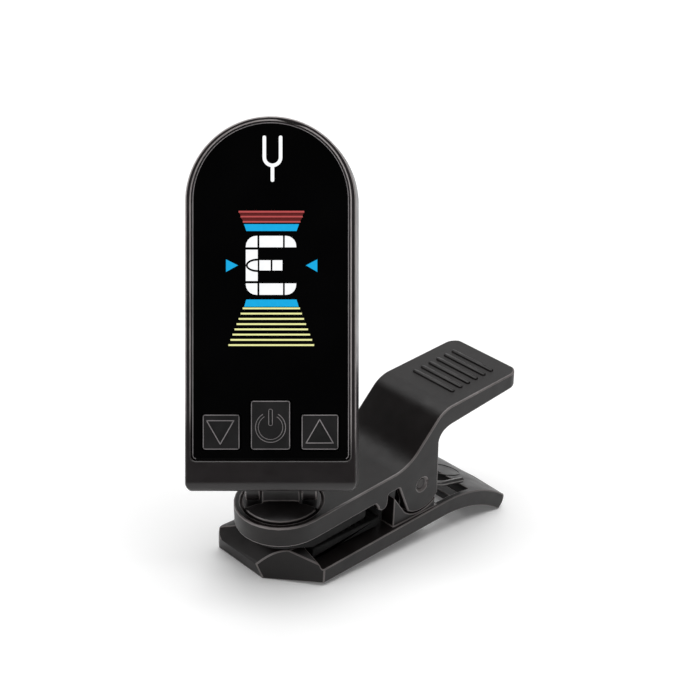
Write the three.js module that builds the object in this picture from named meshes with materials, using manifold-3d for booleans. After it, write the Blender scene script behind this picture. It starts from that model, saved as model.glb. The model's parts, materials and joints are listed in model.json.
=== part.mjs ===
// Clip-on tuner for the headstock of a string instrument: a sprung clip, a turntable with
// a tilting knuckle on its upper jaw, and a slim head with a display and three buttons.
//
// Millimetres, +Z up, standing on the table as the clip lies on it: on the front edge of
// the lower jaw and on the end of its tail. +X runs from the jaws to the finger handles.
// The origin is the middle of the bounding box's bottom.
//
// Frames, each a nested group:
//   lower jaw   origin on its flat underside below the pivot pin
//   upper jaw   origin on the pivot pin, level with its own flat arm
//   turntable   origin on the swivel axis, on top of the arm
//   head        origin on the tilt axis, front face towards -Y, +Z up the face
import * as THREE from "three";
import { mergeVertices } from "three/addons/utils/BufferGeometryUtils.js";
import Module from "manifold-3d";

const wasm = await Module();
wasm.setup();

// ---- driving dimensions -------------------------------------------------------------

const ARC_STEPS = 8; // straight pieces in each arc of an outline
const CORNER_STEPS = 3; // the same, for a small round corner
const ROUND_STEPS = 28; // sides of a round rod or hole
const GAP = 0.3; // clearance between pieces that move past each other
const RUNNING = 0.06; // clearance of a pin in its hole
const REACH = 100; // longer than anything that it cuts

// Lower jaw
const PIN_HEIGHT = 9.5; // pivot pin above the flat underside
const JAW_FRONT = -32.5; // front edge of the underside, measured from the pin
const JAW_LIP = 0.9; // the front face leans out by this much
const PLATE_FRONT = 2.9; // plate thickness behind the nose
const PLATE_REAR = 3.2; // plate thickness under the pin
const NOSE_HALF = 10.3; // half width across the nose
const JAW_HALF = 8.75; // half width from the pin back
const PAD_HALF = 9.6; // the finger pad of the tail is wider on its far side
const WAIST_HALF = 8.2; // far side, just in front of the finger pad
const TAPER_END = 7.5; // where the sides become parallel
const TAIL_TOP = new THREE.Vector2(24.6, -2.8); // upper edge of the tail's end
const TAIL_FOOT = new THREE.Vector2(22.7, -5.1); // lower edge, which stands on the table
const TAIL_BEND_TOP = 8; // where the top face starts to bend down
const TAIL_BEND_FOOT = 7; // where the underside starts to bend down
const NOSE_CREST = 6.35;
const NOSE_CREST_HALF = 5.4;
const NOSE_NEAR = 3.3; // height of the nose at its near side
const NOSE_FAR = 4.2; // height at its far side
const NOSE_LENGTH = 7; // front edge to the back of the raised nose

// Upper jaw, measured from the pin
const LEVER_HALF = 8.4; // half width of the arm and the handle
const ARM_TOP = 5.4;
const ARM_BOTTOM = 1.4;
const ARM_CEILING = 3.2; // underside of the arm's top wall
const WALL = 1.5; // side walls of the hollow arm
const SWIVEL_X = -26.4; // swivel axis, and centre of the round end
const HANDLE_TOP = 13.7;
const HANDLE_END = 25.9;
const HANDLE_CORNER = 2.8;
const CHEEK_RADIUS = 5.6; // round bottom of the cheeks, about the pin
const CHEEK_REAR = 4.2;
const CHEEK_FRONT = -3.5; // front end of the round bottom
const CHEEK_NOTCH = -5.8; // where its front edge meets the arm
const JAW_REST_ANGLE = 4.3; // degrees between arm and lower jaw, with the pads closed

// Pin, spring and swivel
const PIN_RADIUS = 1.1;
const WIRE = 1.1;
const COIL_RADIUS = 2.5; // to the middle of the wire
const COIL_TURNS = 7;
const COIL_PITCH = 1.22;
const TABLE_RADIUS = 6.9;
const STEM_RADIUS = 2.4;
const TILT_HEIGHT = 3.2; // tilt axis above the arm
const KNUCKLE_HALF = 3.2;
const KNUCKLE_RADIUS = 2.6;
const EAR_NEAR = 3.5; // inner face of the head's hinge ears
const EAR_FAR = 6.2; // outer face
const EAR_RADIUS = 2.7;
const TILT_PIN_RADIUS = 0.8;
const SWIVEL_REST_ANGLE = -43.25; // degrees, head turned towards the front corner
const LEAN_REST_ANGLE = 30.6; // degrees back from square to the arm

// Head
const HEAD_SHIFT = -1.35; // middle of the head, to the left of the hinge
const HEAD_HALF = 14.2; // half width, and radius of the arched top
const HEAD_BOTTOM = -0.4;
const HEAD_HEIGHT = 62.4;
const HEAD_TOP = HEAD_BOTTOM + HEAD_HEIGHT;
const HEAD_CORNER = 1.5; // lower corners, seen from the front
const HEAD_FRONT = -10; // face of the rim
const SEAM = -4; // joint between the front and rear cases
const HEAD_BACK = -0.2;
const FLARE = 0.5; // each side is this much wider at the seam than at the face
const CASE_WALL = 1.3;
const BACK_ROUND = 1.9; // rounding around the back of the rear case
const WINDOW_HALF = 13.05;
const CHIN = 5.35; // height of the plain strip below the window
const WINDOW_FRONT = -9.75;
const WINDOW_BACK = -8.85;
const LEDGE_FRONT = -8.75; // front-case plate behind the window
const LEDGE_BACK = -7.8;
const BOARD_FRONT = -6.25;
const BOARD_BACK = -5.45;
const SCREEN_HALF = 10.3;
const SCREEN_LOW = 20.6; // above the tilt axis
const SCREEN_HIGH = 49.1;
const CELL_HEIGHT = 31.6; // centre of the coin cell above the tilt axis
const CELL_RADIUS = 10; // CR2032: 20 mm across, 3.2 mm thick
const CELL_FRONT = -4.9;
const CELL_BACK = -1.7;
const CAP_RADIUS = 11.5;
const CAP_TAB_RADIUS = 12.3;
const BACK_WALL = -1.4; // inner face of the rear case's back wall
const KEY_BOTTOM = 6.6; // lower edge of all three keys, above the tilt axis
const KEYS = [
  { name: "down", x: -8.2, width: 6.2, height: 5.9 },
  { name: "power", x: 0, width: 6.6, height: 8.2 },
  { name: "up", x: 8.2, width: 6.2, height: 5.9 },
];
const CASE_SCREWS = [
  { x: -10.4, z: 2.7 },
  { x: 10.4, z: 2.7 },
  { x: -8.2, z: 54 },
  { x: 8.2, z: 54 },
];

const degrees = (angle) => (angle * Math.PI) / 180;

// ---- solids -------------------------------------------------------------------------

function solidFrom(geometry) {
  const loose = geometry.index ? geometry.toNonIndexed() : geometry;
  const bare = new THREE.BufferGeometry();
  bare.setAttribute("position", loose.getAttribute("position"));
  const merged = mergeVertices(bare, 1e-4);
  return new wasm.Manifold(
    new wasm.Mesh({
      numProp: 3,
      vertProperties: merged.attributes.position.array,
      triVerts: new Uint32Array(merged.index.array),
    }),
  );
}

function geometryFrom(solid) {
  const mesh = solid.getMesh();
  const corners = new Float32Array(mesh.triVerts.length * 3);
  mesh.triVerts.forEach((vertex, i) => {
    const at = vertex * mesh.numProp;
    corners.set(mesh.vertProperties.subarray(at, at + 3), i * 3);
  });
  const geometry = new THREE.BufferGeometry();
  geometry.setAttribute("position", new THREE.BufferAttribute(corners, 3));
  geometry.computeVertexNormals();
  return geometry;
}

const joined = (first, ...rest) => rest.reduce((all, part) => all.add(part), first);
const cut = (first, ...rest) => rest.reduce((all, part) => all.subtract(part), first);
const common = (first, ...rest) => rest.reduce((all, part) => all.intersect(part), first);

function extruded(shape, length, steps = ARC_STEPS) {
  const options = { depth: length, bevelEnabled: false, curveSegments: steps };
  return new THREE.ExtrudeGeometry(shape, options);
}

// An outline in X and Y, raised from low to high along Z.
const prismZ = (shape, low, high) =>
  solidFrom(extruded(shape, high - low).translate(0, 0, low));

// An outline in X and Z, extended from low to high along Y.
const prismY = (shape, low, high, steps) =>
  solidFrom(extruded(shape, high - low, steps).rotateX(Math.PI / 2).translate(0, high, 0));

// An outline in Y and Z, extended from low to high along X.
function prismX(shape, low, high) {
  const turn = new THREE.Matrix4().makeBasis(
    new THREE.Vector3(0, 1, 0),
    new THREE.Vector3(0, 0, 1),
    new THREE.Vector3(1, 0, 0),
  );
  return solidFrom(extruded(shape, high - low).applyMatrix4(turn).translate(low, 0, 0));
}

function box(x, y, z) {
  const size = [x[1] - x[0], y[1] - y[0], z[1] - z[0]];
  const centre = [(x[0] + x[1]) / 2, (y[0] + y[1]) / 2, (z[0] + z[1]) / 2];
  return solidFrom(new THREE.BoxGeometry(...size).translate(...centre));
}

// A round rod along Y from low to high, through the point (x, z).
function rodY(radius, low, high, x = 0, z = 0) {
  const rod = new THREE.CylinderGeometry(radius, radius, high - low, ROUND_STEPS);
  return solidFrom(rod.translate(x, (low + high) / 2, z));
}

function rodX(radius, low, high, y = 0, z = 0) {
  const rod = new THREE.CylinderGeometry(radius, radius, high - low, ROUND_STEPS);
  return solidFrom(rod.rotateZ(Math.PI / 2).translate((low + high) / 2, y, z));
}

function rodZ(radius, low, high, x = 0, y = 0) {
  const rod = new THREE.CylinderGeometry(radius, radius, high - low, ROUND_STEPS);
  return solidFrom(rod.rotateX(Math.PI / 2).translate(x, y, (low + high) / 2));
}

// A turned piece about Z: profile points are [radius, height], starting and ending on the axis.
function turnedZ(profile) {
  const points = profile.map(([radius, height]) => new THREE.Vector2(radius, height));
  return solidFrom(new THREE.LatheGeometry(points, ROUND_STEPS).rotateX(Math.PI / 2));
}

function polygon(points) {
  return new THREE.Shape(points.map(([a, b]) => new THREE.Vector2(a, b)));
}

function roundedRectangle(left, right, low, high, radius) {
  const quarter = Math.PI / 2;
  const shape = new THREE.Shape();
  shape.absarc(left + radius, low + radius, radius, 2 * quarter, 3 * quarter);
  shape.absarc(right - radius, low + radius, radius, 3 * quarter, 4 * quarter);
  shape.absarc(right - radius, high - radius, radius, 0, quarter);
  shape.absarc(left + radius, high - radius, radius, quarter, 2 * quarter);
  shape.closePath();
  return shape;
}

// ---- clip: lower jaw ----------------------------------------------------------------

// Half width of the tapered lower jaw at x.
function jawHalfAt(x) {
  const share = Math.min(1, (x - JAW_FRONT) / (TAPER_END - JAW_FRONT));
  return NOSE_HALF + (JAW_HALF - NOSE_HALF) * share;
}

// Plan: one front corner is cut off at 45 degrees, the opposite rear corner is well rounded.
function jawPlan() {
  const chamferLength = 7.3;
  const chamferStart = -2.3;
  const chamferEnd = -jawHalfAt(JAW_FRONT + chamferLength);
  const chamferSlope = (chamferStart - chamferEnd) / chamferLength;
  const frontRound = 2.2;
  const farRound = 5;
  const nearRound = 1.2;
  const padStart = 13.4;
  const waistStart = 8.4;
  const waistEnd = 4;
  const front = JAW_FRONT - JAW_LIP;
  const rear = TAIL_TOP.x + 1;
  const quarter = Math.PI / 2;
  const shape = new THREE.Shape();
  shape.moveTo(front, NOSE_HALF - frontRound);
  shape.lineTo(front, chamferStart + JAW_LIP * chamferSlope);
  shape.lineTo(JAW_FRONT + chamferLength, chamferEnd);
  shape.lineTo(TAPER_END, -JAW_HALF);
  shape.absarc(TAIL_TOP.x - nearRound, -JAW_HALF + nearRound, nearRound, -quarter, 0);
  shape.lineTo(rear, -JAW_HALF + nearRound);
  shape.lineTo(rear, PAD_HALF - farRound);
  shape.lineTo(TAIL_TOP.x, PAD_HALF - farRound);
  shape.absarc(TAIL_TOP.x - farRound, PAD_HALF - farRound, farRound, 0, quarter);
  shape.lineTo(padStart, PAD_HALF);
  shape.quadraticCurveTo(9.8, PAD_HALF, waistStart, WAIST_HALF);
  shape.quadraticCurveTo(7.6, WAIST_HALF - 0.4, waistEnd, JAW_HALF);
  shape.absarc(front + frontRound, NOSE_HALF - frontRound, frontRound, quarter, 2 * quarter);
  return shape;
}

// Side outline of the plate and of the tail that bends down to the table.
function plateSide() {
  const footRun = TAIL_FOOT.x - TAIL_BEND_FOOT;
  const footRadius = (footRun ** 2 + TAIL_FOOT.y ** 2) / (-2 * TAIL_FOOT.y);
  const topRun = TAIL_TOP.x - TAIL_BEND_TOP;
  const topDrop = PLATE_REAR - TAIL_TOP.y;
  const topRadius = (topRun ** 2 + topDrop ** 2) / (2 * topDrop);
  const footTurn = Math.asin(footRun / footRadius);
  const topTurn = Math.asin(topRun / topRadius);
  const quarter = Math.PI / 2;
  const shape = new THREE.Shape();
  shape.moveTo(JAW_FRONT, 0);
  shape.lineTo(TAIL_BEND_FOOT, 0);
  shape.absarc(TAIL_BEND_FOOT, -footRadius, footRadius, quarter, quarter - footTurn, true);
  shape.absarc(TAIL_BEND_TOP, PLATE_REAR - topRadius, topRadius, quarter - topTurn, quarter);
  shape.lineTo(JAW_FRONT + NOSE_LENGTH, PLATE_FRONT);
  shape.lineTo(JAW_FRONT - JAW_LIP, PLATE_FRONT);
  return shape;
}

// The raised nose: a rounded ramp up from the front edge, lower towards both sides.
function nose() {
  const front = JAW_FRONT - JAW_LIP;
  const back = JAW_FRONT + NOSE_LENGTH;
  const low = 1;
  const side = new THREE.Shape();
  side.moveTo(JAW_FRONT - (JAW_LIP * low) / PLATE_FRONT, low);
  side.lineTo(back, low);
  side.lineTo(back, PLATE_FRONT);
  side.lineTo(back - 0.9, NOSE_CREST - 0.3);
  side.quadraticCurveTo(JAW_FRONT + 3.4, NOSE_CREST + 0.35, JAW_FRONT + 2.3, NOSE_CREST - 0.15);
  side.quadraticCurveTo(JAW_FRONT + 0.8, NOSE_CREST - 0.7, front, PLATE_FRONT);
  const across = polygon([
    [-NOSE_HALF, low],
    [NOSE_HALF, low],
    [NOSE_HALF, NOSE_FAR],
    [NOSE_CREST_HALF, NOSE_CREST],
    [-NOSE_CREST_HALF, NOSE_CREST],
    [-NOSE_HALF, NOSE_NEAR],
  ]);
  return common(prismY(side, -NOSE_HALF, NOSE_HALF), prismX(across, front, back));
}

// Low outer part of an ear: a pointed horn in front, then a hollow that follows the cheek.
function earBase() {
  const hollow = CHEEK_RADIUS + GAP;
  const reach = 4;
  const drop = Math.sqrt(hollow ** 2 - reach ** 2);
  const start = Math.atan2(-drop, reach);
  const shape = new THREE.Shape();
  shape.moveTo(-6.8, 1);
  shape.lineTo(reach, 1);
  shape.absarc(0, PIN_HEIGHT, hollow, start, -Math.PI - start, true);
  shape.lineTo(-7, PIN_HEIGHT - 0.2);
  return shape;
}

// Inner tongue of an ear, which carries the pin between the cheeks.
function earTongue() {
  const radius = 3.5;
  const shape = new THREE.Shape();
  shape.moveTo(-4.4, 1);
  shape.lineTo(4.2, 1);
  shape.absarc(0, PIN_HEIGHT, radius, 0, Math.PI);
  return shape;
}

const TONGUE_NEAR = 5.2;
const TONGUE_FAR = LEVER_HALF - WALL - GAP;

function lowerJaw() {
  const plate = prismY(plateSide(), -NOSE_HALF, NOSE_HALF);
  const body = common(joined(plate, nose()), prismZ(jawPlan(), -REACH, REACH));
  const windowX = [4.6, 14.2];
  const windowY = [-7.6, 7];
  const opened = cut(body, box(windowX, windowY, [-REACH, REACH]));
  const springBar = box([10.2, 12.4], [windowY[0] - 0.3, windowY[1] + 0.3], [0.3, 1.9]);
  let jaw = joined(opened, springBar);
  for (const side of [-1, 1]) {
    const span = (near, far) => [side * near, side * far].sort((a, b) => a - b);
    jaw = joined(jaw, prismY(earBase(), ...span(TONGUE_NEAR, LEVER_HALF - 0.05)));
    jaw = joined(jaw, prismY(earTongue(), ...span(TONGUE_NEAR, TONGUE_FAR)));
  }
  return cut(jaw, rodY(PIN_RADIUS + RUNNING, -REACH, REACH, 0, PIN_HEIGHT));
}

// Rubber pad behind the nose, as wide as the hollow of the arm above it.
function lowerPad() {
  const top = PLATE_FRONT + 2.3;
  const front = JAW_FRONT + NOSE_LENGTH + 0.3;
  const rear = -8.2;
  const half = LEVER_HALF - WALL - GAP;
  const side = polygon([
    [front, PLATE_FRONT + 0.2],
    [rear, PLATE_FRONT + 0.45],
    [rear, top - 0.4],
    [rear - 0.6, top],
    [front + 0.3, top],
  ]);
  const plan = roundedRectangle(front - 1, rear, -half, half, 1.2);
  return common(prismY(side, -half, half), prismZ(plan, 0, 10));
}

// ---- clip: upper jaw ----------------------------------------------------------------

// The S-shaped top line from the arm up to the handle: two arcs and the ramp between them.
function leverTop(shape) {
  const rampAngle = degrees(43);
  const lowerBend = 8.5;
  const upperBend = 6;
  const bendStart = -7;
  const rise = HANDLE_TOP - ARM_TOP - (lowerBend + upperBend) * (1 - Math.cos(rampAngle));
  const run = (lowerBend + upperBend) * Math.sin(rampAngle) + rise / Math.tan(rampAngle);
  const quarter = Math.PI / 2;
  const upperX = bendStart + run;
  shape.absarc(upperX, HANDLE_TOP - upperBend, upperBend, quarter, quarter + rampAngle);
  shape.absarc(bendStart, ARM_TOP + lowerBend, lowerBend, -quarter + rampAngle, -quarter, true);
}

// Side outline of the arm, its hanging lug, the cheek and the handle.
function leverSide() {
  const front = SWIVEL_X - LEVER_HALF;
  const lugRadius = 1.2;
  const lugX = -9.9;
  const notchTop = 2;
  const cheekFoot = Math.sqrt(CHEEK_RADIUS ** 2 - CHEEK_FRONT ** 2);
  const cheekStart = Math.atan2(-cheekFoot, CHEEK_FRONT);
  const cheekRise = Math.sqrt(CHEEK_RADIUS ** 2 - CHEEK_REAR ** 2);
  const cheekEnd = Math.atan2(-cheekRise, CHEEK_REAR);
  const shape = new THREE.Shape();
  shape.moveTo(front, ARM_BOTTOM);
  shape.lineTo(lugX - 1.8, ARM_BOTTOM);
  shape.absarc(lugX, ARM_BOTTOM - 1, lugRadius, -Math.PI, 0);
  shape.lineTo(lugX + 1.4, notchTop);
  shape.lineTo(CHEEK_NOTCH, notchTop);
  shape.absarc(0, 0, CHEEK_RADIUS, cheekStart, cheekEnd);
  shape.lineTo(CHEEK_REAR, 7.4);
  shape.quadraticCurveTo(CHEEK_REAR + 0.4, 9.5, CHEEK_REAR + 3.2, 9.75);
  shape.lineTo(HANDLE_END - 1.2, HANDLE_TOP - 3.1);
  shape.quadraticCurveTo(HANDLE_END, HANDLE_TOP - 3.1, HANDLE_END, HANDLE_TOP - 2.1);
  shape.quadraticCurveTo(HANDLE_END, HANDLE_TOP, HANDLE_END - 0.6, HANDLE_TOP);
  leverTop(shape);
  shape.lineTo(front, ARM_TOP);
  return shape;
}

// Plan of the lever: round at the swivel, square with round corners at the handle.
function leverPlan(inset) {
  const half = LEVER_HALF - inset;
  const corner = HANDLE_CORNER;
  const quarter = Math.PI / 2;
  const shape = new THREE.Shape();
  shape.absarc(SWIVEL_X, 0, half, quarter, 3 * quarter);
  shape.absarc(HANDLE_END - corner, -half + corner, corner, 3 * quarter, 4 * quarter);
  shape.absarc(HANDLE_END - corner, half - corner, corner, 0, quarter);
  return shape;
}

function upperJaw() {
  const half = LEVER_HALF;
  const outer = common(prismY(leverSide(), -half, half), prismZ(leverPlan(0), -REACH, REACH));
  const hollow = polygon([
    [-REACH, -REACH],
    [REACH, -REACH],
    [REACH, 5],
    [CHEEK_REAR + 0.1, 5],
    [CHEEK_REAR + 0.1, 8],
    [2.4, 7.6],
    [-3.5, ARM_CEILING],
    [-REACH, ARM_CEILING],
  ]);
  const room = prismY(hollow, -half + WALL, half - WALL);
  const inside = common(room, prismZ(leverPlan(WALL), -REACH, REACH));
  const recess = rodZ(TABLE_RADIUS + GAP, ARM_TOP - 0.8, HANDLE_TOP, SWIVEL_X);
  const stemHole = rodZ(STEM_RADIUS + 0.2, 0, REACH, SWIVEL_X);
  const pinHole = rodY(PIN_RADIUS + RUNNING, -REACH, REACH);
  const sinks = [-1, 1].map((side) => {
    const ends = [side * (half - 0.5), side * (half + 1)].sort((a, b) => a - b);
    return rodY(1.35, ...ends);
  });
  return cut(outer, inside, recess, stemHole, pinHole, ...sinks);
}

// Rubber pad under the arm, with a tongue that sits up in the hollow.
function upperPad() {
  const inset = WALL + GAP;
  const half = LEVER_HALF - inset;
  const front = SWIVEL_X - half;
  const rear = -12.4;
  const side = polygon([
    [front, ARM_BOTTOM - GAP],
    [front + 0.4, -0.4],
    [-28.6, -0.5],
    [-25, -2.1],
    [rear - 0.5, -2.1],
    [rear, -1.6],
    [rear, ARM_BOTTOM - GAP],
  ]);
  const slab = common(prismY(side, -REACH, REACH), prismZ(leverPlan(inset), -REACH, REACH));
  const tongue = box([-20.5, rear - 0.4], [-half + 0.1, half - 0.1], [0, ARM_CEILING - 0.3]);
  return joined(slab, tongue);
}

// ---- clip: pin and spring -----------------------------------------------------------

function pivotPin() {
  const end = LEVER_HALF - 0.35;
  return rodY(PIN_RADIUS, -end, end);
}

// Coil about the pin, with one leg down to the lower jaw and one up under the handle.
function torsionSpring() {
  const halfLength = (COIL_TURNS * COIL_PITCH) / 2;
  const lowerFoot = new THREE.Vector3(13.5, -5.9, 2.65 - PIN_HEIGHT);
  const upperFoot = new THREE.Vector3(12.6, halfLength, 9.35);
  // An angle of 0 is towards +X and 90 degrees is up; each leg leaves its coil on a tangent.
  const tangent = (foot, side) =>
    Math.atan2(foot.z, foot.x) + side * Math.acos(COIL_RADIUS / Math.hypot(foot.x, foot.z));
  const start = tangent(lowerFoot, -1);
  const wanted = tangent(upperFoot, 1);
  const fullTurns = -2 * Math.PI * (COIL_TURNS - 1);
  const partTurn = ((start - wanted) % (2 * Math.PI)) + 2 * Math.PI;
  const sweep = fullTurns - (partTurn % (2 * Math.PI));
  const points = [];
  const coilSteps = COIL_TURNS * 14;
  for (let i = 0; i <= coilSteps; i++) {
    const share = i / coilSteps;
    const angle = start + sweep * share;
    const y = -halfLength + 2 * halfLength * share;
    points.push(new THREE.Vector3(COIL_RADIUS * Math.cos(angle), y, COIL_RADIUS * Math.sin(angle)));
  }
  const along = (from, to, share) => from.clone().lerp(to, share);
  const first = points[0];
  const last = points[coilSteps];
  // The lower leg steps sideways once it is clear of the ear.
  const stepOut = along(lowerFoot, first, 0.35);
  const clearOfEar = along(lowerFoot, first, 0.6).setY(-halfLength);
  const path = new THREE.CatmullRomCurve3([
    lowerFoot,
    stepOut.setY(lowerFoot.y),
    clearOfEar,
    along(lowerFoot, first, 0.9).setY(-halfLength),
    ...points,
    along(last, upperFoot, 0.1),
    along(last, upperFoot, 0.5),
    upperFoot,
  ]);
  const sides = 6;
  const ring = Array.from({ length: sides }, (_, i) => {
    const angle = (2 * Math.PI * (i + 0.5)) / sides;
    return new THREE.Vector2(Math.cos(angle), Math.sin(angle)).multiplyScalar(WIRE / 2);
  });
  const options = { steps: 125, extrudePath: path, bevelEnabled: false };
  return solidFrom(new THREE.ExtrudeGeometry(new THREE.Shape(ring), options));
}

// ---- swivel and tilt mount ----------------------------------------------------------

// Turned flange, domed on top, with a stem down through the arm, a knuckle and two ear slots.
function turntable() {
  const flange = turnedZ([
    [0, ARM_CEILING - ARM_TOP - 0.2],
    [STEM_RADIUS, ARM_CEILING - ARM_TOP - 0.2],
    [STEM_RADIUS, -0.5],
    [TABLE_RADIUS, -0.5],
    [TABLE_RADIUS, 0.3],
    [TABLE_RADIUS - 0.4, 0.6],
    [TABLE_RADIUS - 1.6, 1.2],
    [TABLE_RADIUS - 3.4, 1.6],
    [0, 1.7],
  ]);
  const cheek = new THREE.Shape();
  cheek.moveTo(-KNUCKLE_RADIUS, 0);
  cheek.lineTo(KNUCKLE_RADIUS, 0);
  cheek.absarc(0, TILT_HEIGHT, KNUCKLE_RADIUS, 0, Math.PI);
  const knuckle = prismX(cheek, -KNUCKLE_HALF, KNUCKLE_HALF);
  const slotReach = EAR_RADIUS + 0.25;
  const slots = [-1, 1].map((side) => {
    const ends = [side * KNUCKLE_HALF, side * (TABLE_RADIUS + 1)].sort((a, b) => a - b);
    return box(ends, [-slotReach, slotReach], [0.1, REACH]);
  });
  const pinHole = rodX(TILT_PIN_RADIUS + RUNNING, -REACH, REACH, 0, TILT_HEIGHT);
  const screwHole = rodZ(1.1, -REACH, 0.3);
  return cut(joined(flange, knuckle), ...slots, pinHole, screwHole);
}

function frictionWasher() {
  const top = ARM_CEILING - ARM_TOP - 0.35;
  return cut(rodZ(4.4, top - 0.4, top), rodZ(1.15, -REACH, REACH));
}

function swivelScrew() {
  const top = ARM_CEILING - ARM_TOP - 0.85;
  return joined(rodZ(2.3, top - 0.65, top), rodZ(0.95, top - 0.3, 0.1));
}

function tiltPin() {
  const half = EAR_FAR - 0.2;
  return rodX(TILT_PIN_RADIUS, -HEAD_SHIFT - half, -HEAD_SHIFT + half);
}

// ---- head: cases --------------------------------------------------------------------

// Arched outline in X and Z: square at the bottom with round corners, half round on top.
function arch(half, bottom, top, corner) {
  const quarter = Math.PI / 2;
  const arc = (x, z, radius, start, end, steps) =>
    new THREE.Path().absarc(x, z, radius, start * quarter, end * quarter).getPoints(steps);
  return new THREE.Shape([
    ...arc(-half + corner, bottom + corner, corner, 2, 3, CORNER_STEPS),
    ...arc(half - corner, bottom + corner, corner, 3, 4, CORNER_STEPS),
    ...arc(0, top - half, half, 0, 2, ARC_STEPS * 3),
  ]);
}

// The arched outline, grown by FLARE from the end at y to the seam.
function flaredCase(y) {
  const thickness = Math.abs(SEAM - y);
  const middle = 0.1;
  const options = {
    depth: middle,
    bevelThickness: thickness,
    bevelSize: FLARE,
    bevelSegments: 1,
  };
  const outline = arch(HEAD_HALF, HEAD_BOTTOM, HEAD_TOP, HEAD_CORNER);
  const both = new THREE.ExtrudeGeometry(outline, options).rotateX(Math.PI / 2);
  const shift = y < SEAM ? SEAM + middle : SEAM;
  const near = Math.min(y, SEAM);
  const far = Math.max(y, SEAM);
  const slab = box([-REACH, REACH], [near, far], [-REACH, REACH]);
  return common(solidFrom(both.translate(0, shift, 0)), slab, headSide());
}

// Side outline of the whole head: rounded under the chin, towards the face and the back.
function headSide() {
  const quarter = Math.PI / 2;
  const frontRound = 1.8;
  const backRound = 2.4;
  const high = HEAD_TOP + 1;
  const shape = new THREE.Shape();
  const corner = (y, radius, start) =>
    shape.absarc(y, HEAD_BOTTOM + radius, radius, start * quarter, (start + 1) * quarter);
  corner(HEAD_FRONT + frontRound, frontRound, 2);
  corner(HEAD_BACK - backRound, backRound, 3);
  shape.lineTo(HEAD_BACK, high);
  shape.lineTo(HEAD_FRONT, high);
  return prismX(shape, -REACH, REACH);
}

// A block of the head's outline whose back edge is rounded all the way around the arch.
function roundedBack() {
  const inset = BACK_ROUND - FLARE;
  const corner = 1;
  const depth = 10;
  const options = {
    depth,
    bevelThickness: BACK_ROUND,
    bevelSize: BACK_ROUND,
    bevelSegments: 5,
  };
  const outline = arch(HEAD_HALF - inset, HEAD_BOTTOM - REACH, HEAD_TOP - inset, corner);
  const block = new THREE.ExtrudeGeometry(outline, options).rotateX(Math.PI / 2);
  return solidFrom(block.translate(0, HEAD_BACK - BACK_ROUND, 0));
}

function keyBox(key, grow, low, high) {
  const half = key.width / 2 + grow;
  const bottom = KEY_BOTTOM - grow;
  const top = KEY_BOTTOM + key.height + grow;
  const outline = roundedRectangle(key.x - half, key.x + half, bottom, top, 0.5);
  return prismY(outline, low, high, CORNER_STEPS);
}

function frontCase() {
  const innerLow = HEAD_BOTTOM + CASE_WALL;
  const innerHigh = HEAD_TOP - CASE_WALL;
  const recessLow = HEAD_BOTTOM + CHIN - 0.2;
  const recess = arch(WINDOW_HALF + 0.2, recessLow, HEAD_TOP - 0.75, 0.8);
  const cavity = arch(HEAD_HALF - CASE_WALL, innerLow, innerHigh, 1);
  const screen = SCREEN_HALF + 0.25;
  const bosses = CASE_SCREWS.map((at) => rodY(1.7, LEDGE_BACK - 0.2, SEAM - 0.25, at.x, at.z));
  const holes = CASE_SCREWS.map((at) => rodY(0.85, LEDGE_BACK + 0.6, REACH, at.x, at.z));
  const shell = cut(
    flaredCase(HEAD_FRONT),
    prismY(recess, HEAD_FRONT - 1, LEDGE_FRONT),
    prismY(cavity, LEDGE_BACK, SEAM + 1),
    box([-screen, screen], [-REACH, 0], [SCREEN_LOW - 0.25, SCREEN_HIGH + 0.25]),
    box([-REACH, REACH], [SEAM - 0.12, REACH], [-REACH, REACH]),
    ...KEYS.map((key) => keyBox(key, 0.6, LEDGE_FRONT - 1, LEDGE_BACK + 1)),
  );
  return cut(joined(shell, ...bosses), ...holes);
}

function rearCase() {
  const cavity = arch(HEAD_HALF - CASE_WALL, 5, HEAD_TOP - CASE_WALL, 1);
  const outside = common(flaredCase(HEAD_BACK), roundedBack());
  const hollow = cut(outside, prismY(cavity, SEAM - 1, BACK_WALL));
  const bosses = CASE_SCREWS.map((at) => rodY(1.9, SEAM, HEAD_BACK - 0.5, at.x, at.z));
  const ear = new THREE.Shape();
  ear.moveTo(-3, 5);
  ear.lineTo(-3, HEAD_BOTTOM);
  ear.lineTo(-EAR_RADIUS, 0);
  ear.absarc(0, 0, EAR_RADIUS, Math.PI, 2 * Math.PI + degrees(38));
  ear.lineTo(HEAD_BACK, 6);
  const hinge = -HEAD_SHIFT;
  const ears = [
    prismX(ear, hinge - EAR_FAR, hinge - EAR_NEAR),
    prismX(ear, hinge + EAR_NEAR, hinge + EAR_FAR),
  ];
  const opening = rodY(CAP_RADIUS + 0.25, SEAM, REACH, 0, CELL_HEIGHT);
  const loadHalf = 2.6;
  const loadAngle = degrees(40);
  const loadReach = CAP_TAB_RADIUS + GAP;
  const load = box([-loadReach, loadReach], [BACK_WALL - 1, REACH], [-loadHalf, loadHalf]);
  const turn = (solid) =>
    solid.rotate([0, (loadAngle * 180) / Math.PI, 0]).translate([0, 0, CELL_HEIGHT]);
  const knuckleRoom = rodX(KNUCKLE_RADIUS + 0.35, hinge - EAR_NEAR, hinge + EAR_NEAR);
  const holes = CASE_SCREWS.flatMap((at) => [
    rodY(0.85, SEAM - 1, REACH, at.x, at.z),
    rodY(1.5, HEAD_BACK - 1, REACH, at.x, at.z),
  ]);
  const tiltHole = rodX(TILT_PIN_RADIUS + RUNNING, hinge - EAR_FAR - 1, hinge + EAR_FAR + 1);
  return cut(joined(hollow, ...bosses, ...ears), opening, turn(load), knuckleRoom, tiltHole, ...holes);
}

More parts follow.
